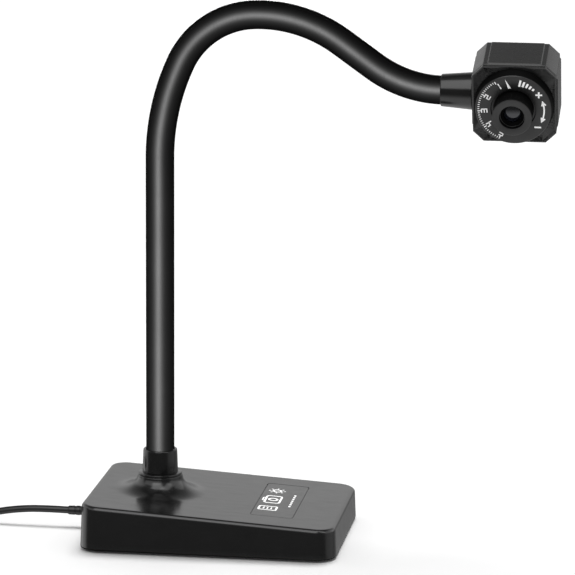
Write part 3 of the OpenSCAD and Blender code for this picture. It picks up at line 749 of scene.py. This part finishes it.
def add_marks(name, lines, place, slot, body):
    """Thin raised white printing: lines are (points, width, closed), drawn on place's xy plane."""
    points, faces = [], []
    for path, width, closed in lines:
        left, right = stroke(path, width, closed)
        n = len(path)
        base = len(points)
        for z in (0, PRINT_T):
            points += [place @ Vector((*p, z)) for p in left]
            points += [place @ Vector((*p, z)) for p in right]
        for i in range(n if closed else n - 1):
            a, b = base + i, base + (i + 1) % n
            faces += [(a + 2 * n, b + 2 * n, b + 3 * n, a + 3 * n), (a, a + n, b + n, b)]
            faces += [(a, b, b + 2 * n, a + 2 * n), (a + n, a + 3 * n, b + 3 * n, b + n)]
        if not closed:
            for i in (base, base + n - 1):
                faces.append((i, i + n, i + 3 * n, i + 2 * n))
    return add_mesh(name, points, faces, slot, body, 30, "print_white")


def make_label(place):
    """The label: a film in its pocket, with pictograms of a camera, a page and a lamp over a row of bars."""
    film = slab("label_film_plate", round_rect(*LABEL_SIZE, 1.9), -LABEL_DEPTH, -0.02, 0.12, place,
                "label_film", "base", 15)
    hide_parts("label_plate")
    across = place @ Matrix.Rotation(math.pi / 2, 4, "Z")
    lines = []
    thick, thin = 1.0, 0.7
    camera, page, lamp = Vector((0, 3.6)), Vector((-16.5, 3.9)), Vector((16.5, 3.9))
    lines.append(([camera + p for p in round_rect(13, 7.4, 1.6)], thick, True))
    lines.append((circle(*camera, 2.1), thick, True))
    lines.append(([camera + Vector(p) for p in ((-3.2, 3.8), (-2.2, 5), (2.2, 5), (3.2, 3.8))], thin, False))
    lines.append(([page + p for p in round_rect(6.6, 8.6, 0.8)], thick, True))
    for y in (-1.8, 0.1, 2):
        lines.append(([page + Vector((x, y)) for x in (-1.7, 1.7)], thin, False))
    lines.append((circle(*lamp, 2), thick, True))
    for k in range(8):
        lines.append(([lamp + polar(r, 45 * k) for r in (3.1, 4.3)], thin, False))
    for k in range(7):
        lines.append(([(x + 3.4 * k, -6) for x in (-11, -9)], thick, False))
    add_marks("label_pictograms", lines, across @ Matrix.Translation((0.8, 0, -0.02)), "label_film", "base")


def make_stem_joint():
    z0, z1 = (corner.z for corner in box_mm("stem_collar"))
    corners = [(8.0, z0, 0), (8.85, z0, 0.15), (8.4, z1, 0.75), (CUP_R, z1, 0.5),
               (CUP_R, NECK_START + 0.05, 0), (6.78, NECK_START + 0.05, 0), (6.78, z0, 0)]
    collar = lathe("stem_collar_ring", corners, STEM_FRAME, "stem_shell", "base")
    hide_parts("stem_collar")
    outlet_x = BASE_LOW.x + WALL_DRAFT * CABLE_Z
    length = outlet_x - OUTLET[0]
    place = Matrix.Translation((outlet_x, 0, CABLE_Z)) @ Matrix.Rotation(-math.pi / 2, 4, "Y")
    corners = [(1.8, -4, 0), (2.6, -4, 0), (2.6, 0.25, 0.1), (2.55, 0.4, 0)]
    for k in range(4):
        z = 2 + 2.6 * k
        wide = 2.5 - 0.25 * z / length
        corners += [(wide, z, 0.1), (wide - 0.2, z + 0.2, 0.1)]
        corners += [(wide - 0.2, z + 0.6, 0.1), (wide - 0.02, z + 0.8, 0.1)]
    corners += [(2.2, length - 0.3, 0.15), (2.05, length, 0.15), (1.8, length, 0)]
    relief = lathe("strain_relief_boot", corners, place, "cable_jacket", "base", n=48, steps=2)
    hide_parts("strain_relief")
    return relief


# ---------- gooseneck ----------
NECK_START = 36.05
NECK_RUNS = [("straight", 152.15, 0), ("arc", 113, -24.5), ("arc", 42, -62.5), ("arc", 68, -38.1),
             ("straight", 19.5, 0), ("arc", 59, 35.1)]


def run_length(run):
    kind, size, turn = run
    return size if kind == "straight" else size * math.radians(abs(turn))


def neck_point(distance):
    """(point, heading) on the stem's centre line, distance along it from the collar's cup."""
    x, z, heading = STEM_X, NECK_START, math.pi / 2
    for run in NECK_RUNS:
        kind, size, turn = run
        length = run_length(run)
        step = min(distance, length) if run is not NECK_RUNS[-1] else distance
        if kind == "straight":
            x += step * math.cos(heading)
            z += step * math.sin(heading)
        else:
            sign = 1 if turn > 0 else -1
            new = heading + sign * step / size
            x += sign * size * (math.sin(new) - math.sin(heading))
            z -= sign * size * (math.cos(new) - math.cos(heading))
            heading = new
        distance -= step
        if distance <= 1e-9:
            break
    return Vector((x, 0, z)), heading


def neck_joint_distances():
    """How far along the stem its eight joints are."""
    straight = [joint_mm(name).z - NECK_START for name in ("stem_lean", "stem_side", "stem_lean_upper")]
    out = straight + [NECK_RUNS[0][1]]
    for run in NECK_RUNS[1:5]:
        out.append(out[-1] + run_length(run))
    return out


NECK_LENGTH = sum(run_length(run) for run in NECK_RUNS)


def neck_tube(name, start, end, spacing, outer, inner, slot, n):
    """A tube along the stem from start to end; outer(distance, bearing) is its outer radius."""
    count = max(2, math.ceil((end - start) / spacing)) + 1
    stations = [start + (end - start) * i / (count - 1) for i in range(count)]
    points = []
    for radius_at, order in ((outer, stations), (lambda s, a: inner, stations[::-1])):
        for distance in order:
            centre, heading = neck_point(distance)
            side = Vector((-math.sin(heading), 0, math.cos(heading)))
            for k in range(n):
                a = 2 * math.pi * k / n
                radius = radius_at(distance, a)
                points.append(centre + radius * (math.cos(a) * side + math.sin(a) * Vector((0, 1, 0))))
    return add_mesh(name, points, loft_faces(2 * count, n, loop=True), slot, sharp_deg=50)


def make_neck():
    """Sleeve and wound steel core, each in eight lengths that each span one joint and meet between joints."""
    joints = neck_joint_distances()
    middles = [(a + b) / 2 for a, b in zip(joints, joints[1:])]
    cuts = [0] + middles + [NECK_LENGTH - 0.03]
    wire = 3.2
    sleeves = []

    def core_radius(distance, bearing):
        wave = 0.5 + 0.5 * math.cos(2 * math.pi * distance / wire - bearing)
        return CORE_R - 0.42 * (1 - wave ** 0.6)

    for k in range(8):
        start, end = cuts[k], cuts[k + 1]
        sleeve = neck_tube(f"neck_sleeve_run_{k}", start, end, 1.8, lambda s, a: NECK_R, NECK_BORE_R,
                           "neck_sleeve", 72)
        core_start = start - 4.4 if k == 0 else start
        core_end = end + 2.4 if k == 7 else end
        core = neck_tube(f"neck_core_run_{k}", core_start, core_end, wire / 5, core_radius, CORE_BORE_R,
                         "neck_core", 40)
        margin = 0 if joints[k] < NECK_RUNS[0][1] - 1 else 5
        first, last = (neck_point(at)[0] for at in (start + margin, end - margin))
        for piece in (sleeve, core):
            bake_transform(piece)
        sleeves.append(sleeve)
        covered = [k] if k < 7 else [7, 8]
        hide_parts(*[f"neck_sleeve_{i}" for i in covered])
        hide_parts(*[f"neck_core_{i}" for i in covered])
    return sleeves


# ---------- head ----------
def make_ferrule():
    low, high = box_mm("head_ferrule")
    place = along_x(low.x, HEAD_CENTRE.z)
    length = high.x - low.x
    corners = [(CUP_R, 0, 0.1), (7.8, 0, 0.5), (9.1, length, 0.3), (4.1, length, 0), (4.1, 7.3, 0),
               (6.8, 7.3, 0), (6.8, 1.3, 0), (CUP_R, 1.3, 0)]
    ferrule = lathe("ferrule_cone", corners, place, "stem_shell", "neck_end")
    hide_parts("head_ferrule")


def octagon(width, chamfer, bump):
    """The head's outline, with a panel raised by bump on each side."""
    half, panel = width / 2, PANEL_W / 2
    ramp, corner = 0.5, 0.5
    corners = []
    for quarter in range(4):
        turn = Matrix.Rotation(quarter * math.pi / 2, 2)
        side = [(half, -half + chamfer, corner), (half, -panel, 0.12), (half + bump, -panel + ramp, 0.15),
                (half + bump, panel - ramp, 0.15), (half, panel, 0.12), (half, half - chamfer, corner)]
        corners += [(*(turn @ Vector((x, y))), radius) for x, y, radius in side]
    return filleted(corners, 3)


HEAD_SHARP_DEG = 25
SCREW_AT = 14         # how far the head's screws are from its middle, both ways
SCREW_HOLE_R = 1.15
SCREW_HEAD_R = 2.15
MICROPHONE_HOLE_R = 0.5
SWIVEL_HOLE_R = 4.06
DIAL_HOLE_R = 12.2


def head_part(name, levels, material):
    """A closed loft along the lens axis; each level is (z, width, chamfer, bump)."""
    points = []
    for z, width, chamfer, bump in levels:
        outline = octagon(width, chamfer, max(bump, 1e-4))
        points += [LENS_FRAME @ Vector((*p, z)) for p in outline]
    faces = capped_faces(len(levels), len(outline))
    return add_mesh(name, points, faces, "head_shell", None, HEAD_SHARP_DEG, material)


def make_head():
    """Housing and front plate: chamfered square shells with raised side panels and softened edges."""
    wall = 1.8
    inner_w, inner_c = HEAD_W - 2 * wall, HEAD_CHAMFER - 0.6 * wall
    w, c = HEAD_W, HEAD_CHAMFER
    front = PLATE_Z - 0.1
    levels = [(BACK_Z + 2, inner_w, inner_c, 0), (front, inner_w, inner_c, 0), (front, w - 0.9, c - 0.27, 0),
              (front - 0.45, w, c, 0), (front - 0.5, w, c, 0.05), (front - 0.9, w, c, PANEL_T),
              (BACK_Z + 1.2, w, c, PANEL_T), (BACK_Z + 0.8, w, c, 0.05), (BACK_Z + 0.7, w, c, 0),
              (BACK_Z + 0.2, w - 0.4, c - 0.12, 0), (BACK_Z, w - 1.4, c - 0.42, 0)]
    housing = head_part("head_shell", levels, "head_shell")
    tools = []
    for x in (-SCREW_AT, SCREW_AT):
        for y in (-SCREW_AT, SCREW_AT):
            place = LENS_FRAME @ Matrix.Translation((x, y, 0))
            tools.append(cutter(place, SCREW_HOLE_R, BACK_Z - 1, BACK_Z + 5, 32))
            tools.append(cutter(place, SCREW_HEAD_R, BACK_Z - 1, BACK_Z + 1, 32))
    side = LENS_FRAME @ Matrix.Rotation(math.pi / 2, 4, "Y")
    tools.append(cutter(side, MICROPHONE_HOLE_R, HEAD_W / 2 - 3, HEAD_W / 2 + 3, 24))
    tools.append(cutter(along_x(HEAD_CENTRE.x - HEAD_W / 2 - 3, HEAD_CENTRE.z), SWIVEL_HOLE_R, 0, 6))
    cut(housing, HEAD_SHARP_DEG, *tools)
    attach(housing, "head")
    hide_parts("head_housing")

    # The CAD node head_front_plate stays shown as well, for the posts behind it
    levels = [(PLATE_Z, w - 1.0, c - 0.3, 0), (PLATE_Z + 0.12, w - 0.5, c - 0.15, 0),
              (PLATE_Z + 0.45, w, c, 0), (FACE_Z - 0.7, w, c, 0), (FACE_Z - 0.25, w - 0.3, c - 0.08, 0),
              (FACE_Z, w - 1.3, c - 0.38, 0)]
    plate = head_part("head_plate", levels, "head_face")
    cut(plate, HEAD_SHARP_DEG, cutter(LENS_FRAME, DIAL_HOLE_R, 0, 20, 96))
    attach(plate, "head")


def digit(number, angle, radius, height):
    """A numeral of straight strokes, standing outwards at that bearing on the dial."""
    w, h = 0.32 * height, 0.5 * height
    ends = {"a": ((-w, h), (w, h)), "b": ((w, h), (w, 0)), "c": ((w, 0), (w, -h)), "d": ((-w, -h), (w, -h)),
            "e": ((-w, 0), (-w, -h)), "f": ((-w, h), (-w, 0)), "g": ((-w, 0), (w, 0))}
    strokes = {1: "bc", 2: "abged", 3: "abgcd", 4: "fgbc", 5: "afgcd"}[number]
    turn = Matrix.Rotation(math.radians(angle - 90), 2)
    middle = polar(radius, angle)
    lines = []
    for name in strokes:
        a, b = (Vector(p) for p in ends[name])
        reach = (b - a).normalized() * 0.24
        lines.append(([middle + turn @ (a - reach), middle + turn @ (b + reach)], 0.52, False))
    return lines


def make_dial():
    """Focus dial: ticks and numerals on the left, growing bars, a plus, an arrowed arc and a minus right."""
    corners = [(9.7, 9, 0), (11.3, 9, 0), (11.3, 10.8, 0), (12, 10.8, 0), (12, 16.2, 0), (16.6, 16.2, 0),
               (17.6, 13.12, 0), (19.2, 13.12, 0.12), (18.15, DIAL_TOP - 0.3, 0.25), (17.85, DIAL_TOP, 0.15),
               (10.75, DIAL_TOP, 0.18), (10.65, DIAL_TOP - 1.2, 0.1), (9.7, DIAL_TOP - 1.2, 0)]
    dial = lathe("focus_ring", corners, LENS_FRAME, "dial_plastic", "dial", n=144)
    # Painted shade: the dial's side walls turn near-black.
    paint_side_shade(dial, LENS_AXIS)
    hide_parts("focus_dial")
    top = LENS_FRAME @ Matrix.Translation((0, 0, DIAL_TOP))
    lines = []
    for k in range(33):
        angle = 121 + 3.9 * k
        long = k % 8 == 0
        start, width = (15.6, 0.46) if long else (16.2, 0.32)
        lines.append(([polar(start, angle), polar(17.1, angle)], width, False))
        if long:
            lines += digit(k // 8 + 1, angle, 13.9, 2.6)
    signs_r, arc_start, arc_end = 14.7, -22, 16
    lines.append((circle(0, 0, signs_r, 20, arc_start, arc_end - arc_start), 0.7, False))
    for angle, way in ((arc_end, 1), (arc_start, -1)):
        tip = polar(signs_r, angle)
        along = Vector((-tip.y, tip.x)).normalized() * way
        out = tip.normalized()
        barb = [tip - along * 1.5 + out * 0.9, tip + along * 0.5, tip - along * 1.5 - out * 0.9]
        lines.append((barb, 0.7, False))
    for angle, half in ((34, Vector((1.6, 0))), (34, Vector((0, 1.6))), (-38, Vector((1.6, 0)))):
        middle = polar(signs_r, angle)
        lines.append(([middle - half, middle + half], 0.8, False))
    for k in range(5):
        half = 0.6 + 0.28 * k
        lines.append(([polar(r, 49 + 7 * k) for r in (14.5 - half, 14.5 + half)], 1.0, False))
    add_marks("dial_scale", lines, top, "dial_plastic", "dial")
    pointer = [(-3.9, 16.3), (-2.3, 11.3), (-1.0, 11.5)]
    slab("dial_pointer", pointer, 0, PRINT_T, 0.005, top, "dial_plastic", "dial", material="print_white")


def make_lens():
    """Barrel with a stepped mouth, its retaining ring and the front lens."""
    t = BARREL_TOP
    corners = [(3, PLATE_Z - 1, 0), (9.55, PLATE_Z - 1, 0), (9.55, t - 0.1, 0.35), (9.3, t, 0.2),
               (6.05, t, 0.2), (5.95, t - 2.2, 0.1), (5.65, t - 2.25, 0.05), (5.65, t - 7, 0), (3, t - 7, 0)]
    barrel = lathe("lens_tube", corners, LENS_FRAME, "lens_black", "lens", n=128)
    thread = [(4.1, 1.2, 0)]
    pitch = 0.5
    for k in range(17):
        z = 1.4 + pitch * k
        thread += [(5.93, z, 0), (5.66, z + pitch / 2, 0)]
    thread += [(5.9, PLATE_Z - 0.9, 0), (3, PLATE_Z - 0.9, 0), (3, 6.7, 0), (4.1, 6.7, 0)]
    lathe("lens_thread", thread, LENS_FRAME, "lens_black", "lens", n=64, sharp_deg=20)
    # Painted shade: the barrel's side walls turn near-black.
    paint_side_shade(barrel, LENS_AXIS)
    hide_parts("lens_barrel")
    ring = [(5.6, t - 3.4, 0), (5.6, t - 2.3, 0.1), (5.15, t - 2.3, 0.1), (4.9, t - 2.65, 0.05),
            (4.9, t - 2.8, 0.05), (4.5, t - 2.95, 0.05), (4.2, t - 3.4, 0)]
    retainer = lathe("retaining_ring", ring, LENS_FRAME, "lens_black", "lens", n=96)
    retainer.data.materials[0] = MATERIALS["grip_black"]
    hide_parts("lens_retainer")
    glass_r, dome_h = 5.5, 1.4
    ball = (glass_r ** 2 + dome_h ** 2) / (2 * dome_h)
    dome = [(ball * math.sin(a), t - 3.55 - ball * (1 - math.cos(a)), 0)
            for a in (math.asin(glass_r / ball) * k / 14 for k in range(14, -1, -1))]
    corners = [(0, t - 6.9, 0), (glass_r, t - 6.9, 0.1)] + dome
    glass = lathe("front_glass", corners, LENS_FRAME, "lens_glass", "lens", n=96, sharp_deg=40)
    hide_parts("front_lens")


# ---------- the CAD nodes that stay ----------
def finish_cad_nodes():
    """Gives every CAD node its slot's material and softens the edges of the plain ones that show."""
    slots = {part["node"]: part["material_slot"] for part in frame["record"]["subparts"]}
    softened = {"base_pad": 0.35, "base_plate": 0.15, "ballast_plate": 0.3, "plug_shell": 0.15,
                "plug_tongue": 0.1, "cable_clamp": 0.3, "lens_holder": 0.2, "sensor_board": 0.08,
                "board_connector": 0.12, "image_sensor": 0.08, "swivel_washer": 0.08, "stem_washer": 0.1}
    for node, obj in frame["nodes"].items():
        for i in range(max(1, len(obj.material_slots))):
            obj.material_slots[i].link = "OBJECT"
            obj.material_slots[i].material = MATERIALS[slots[node]]
        if node in softened and not obj.hide_render:
            weld = obj.modifiers.new("weld", "WELD")
            weld.merge_threshold = 1e-6
            bevel = obj.modifiers.new("soft edges", "BEVEL")
            bevel.width = softened[node] * MM
            bevel.segments = 2
            bevel.limit_method = "ANGLE"
            bevel.angle_limit = math.radians(40)
            bevel.harden_normals = True


# ---------- floor, world and lights, in metres ----------
def make_floor():
    mesh = bpy.data.meshes.new("floor")
    corners = [(-25, -25, 0), (25, -25, 0), (25, 25, 0), (-25, 25, 0)]
    mesh.from_pydata(corners, [], [(0, 1, 2, 3)])
    floor = placed("floor", mesh)
    nodes = Nodes("floor_paint")
    nodes.feed("Base Color", nodes.mixed(nodes.ramp(nodes.noise(60, 2), 0, 1), grey(0.93), grey(0.95)))
    nodes.feed("Roughness", 0.9)
    nodes.feed("Specular IOR Level", 0.1)
    mesh.materials.append(nodes.material)
    floor.visible_glossy = False
    return floor


# Brightness of the surroundings at heights from 0, straight down, over 0.5, level, to 1, straight up
BACK_STOPS = [(0.0, 1.2), (0.25, 0.6), (0.33, 0.3), (0.5, 0.3), (0.55, 0.62), (0.59, 0.85), (0.68, 0.85),
              (0.8, 0.35), (0.88, 0.28), (0.94, 0.05), (1.0, 0.3)]
FRONT_STOPS = [(0.0, 1.2), (0.14, 1.25), (0.25, 0.5), (0.31, 0.18), (0.64, 0.16), (0.7, 0.25), (0.86, 0.4),
               (1.0, 0.3)]
LEFT_LEVEL = 1.3
RIGHT_LEVEL = 0.6


def make_world():
    """Soft studio surroundings: a bright back wall, a dimmer front, two sides and, below, the floor.

    Seen directly, past the floor's far edge, they are plain white like the floor.
    """
    world = bpy.data.worlds.new("studio")
    bpy.context.scene.world = world
    world.use_nodes = True
    nodes = Tree(world.node_tree)
    place = nodes.add("TexCoord").outputs["Generated"]
    split = nodes.add("SeparateXYZ", {0: place})

    def ramp(source, stops):
        node = nodes.add("ValToRGB", {0: source})
        while len(node.color_ramp.elements) < len(stops):
            node.color_ramp.elements.new(0.5)
        for element, (at, level) in zip(node.color_ramp.elements, stops):
            element.position = at
            element.color = (*grey(level), 1)
        return node.outputs["Color"]

    def smooth(axis, low, high):
        links = {"Value": split.outputs[axis], "From Min": low, "From Max": high}
        return nodes.add("MapRange", links, interpolation_type="SMOOTHSTEP").outputs["Result"]

    height = nodes.add("MapRange", {"Value": split.outputs["Z"], "From Min": -1}).outputs["Result"]
    room = nodes.mixed(smooth("Y", -0.35, 0.35), ramp(height, FRONT_STOPS), ramp(height, BACK_STOPS))
    left = nodes.add("Math", {0: smooth("X", -0.55, -0.8), 1: smooth("Y", -0.3, 0.05)}, operation="MULTIPLY")
    room = nodes.mixed(left.outputs[0], room, grey(LEFT_LEVEL))
    room = nodes.mixed(smooth("X", 0.8, 0.95), room, grey(RIGHT_LEVEL))
    seen = nodes.add("LightPath").outputs["Is Camera Ray"]
    nodes.fill(world.node_tree.nodes["Background"].inputs["Color"], nodes.mixed(seen, room, grey(1)))


def aim(light, way):
    light.rotation_mode = "QUATERNION"
    light.rotation_quaternion = way.to_track_quat("-Z", "Y")


def add_area(name, spot, target, width, height, radiance):
    data = bpy.data.lights.new(name, "AREA")
    data.shape = "RECTANGLE"
    data.size = width
    data.size_y = height
    data.energy = radiance * math.pi * width * height
    light = placed(name, data)
    light.location = spot
    aim(light, Vector(target) - Vector(spot))
    return light


def add_sky(name, bearing, height, strength, angle):
    """Very soft daylight for the floor and for matt surfaces, from a bearing and height in degrees."""
    data = bpy.data.lights.new(name, "SUN")
    data.energy = strength
    data.angle = math.radians(angle)
    light = placed(name, data)
    a, b = math.radians(bearing), math.radians(height)
    aim(light, -Vector((math.cos(a) * math.cos(b), math.sin(a) * math.cos(b), math.sin(b))))
    light.visible_glossy = False


def light_only(light, objects, state):
    """Makes a light shine on some objects only, or on everything else."""
    chosen = bpy.data.collections.new(light.name + "_objects")
    for obj in objects:
        chosen.objects.link(obj)
    for item in chosen.collection_objects:
        item.light_linking.link_state = state
    light.light_linking.receiver_collection = chosen


def make_lights(sleeves, cover, floor):
    middle = (0.03, 0, 0.15)
    stem = (-0.02, 0, 0.14)
    boss = (-0.03, 0, 0.03)
    left = add_area("left_panel", (-0.12, -0.84, 1.2), middle, 1.0, 1.5, 2.4)
    right = add_area("right_panel", (0.74, -0.46, 1.2), middle, 0.66, 1.5, 1.6)
    band = add_area("stem_band", (-0.12, -1.33, 0.27), stem, 0.46, 0.6, 168)
    far_band = add_area("far_stem_band", (-0.3, 1.35, 0.5), stem, 1.0, 0.8, 110)
    boss_left = add_area("boss_left_panel", (-0.55, -1.0, 0.65), boss, 2.2, 1.0, 1.0)
    boss_right = add_area("boss_right_panel", (1.1, 0.15, 0.65), boss, 2.0, 1.0, 0.8)
    for light in (left, right):
        light_only(light, sleeves + [floor], "EXCLUDE")
    for light in (band, far_band):
        light_only(light, sleeves, "INCLUDE")
    for light in (boss_left, boss_right):
        light_only(light, [cover], "INCLUDE")
    add_sky("high_back_sky", 75, 71, 2.4, 34)
    add_sky("front_sky", 260, 60, 0.3, 120)


make_camera()
cable = make_cable()
tie = make_tie()
plug_grip, plug_neck = make_plug()
cover, label_place = make_base()
make_label(label_place)
relief = make_stem_joint()
sleeves = make_neck()
make_ferrule()
make_head()
make_dial()
make_lens()
finish_cad_nodes()
floor = make_floor()
make_world()
make_lights(sleeves, cover, floor)
bpy.context.scene.view_settings.view_transform = "Standard"
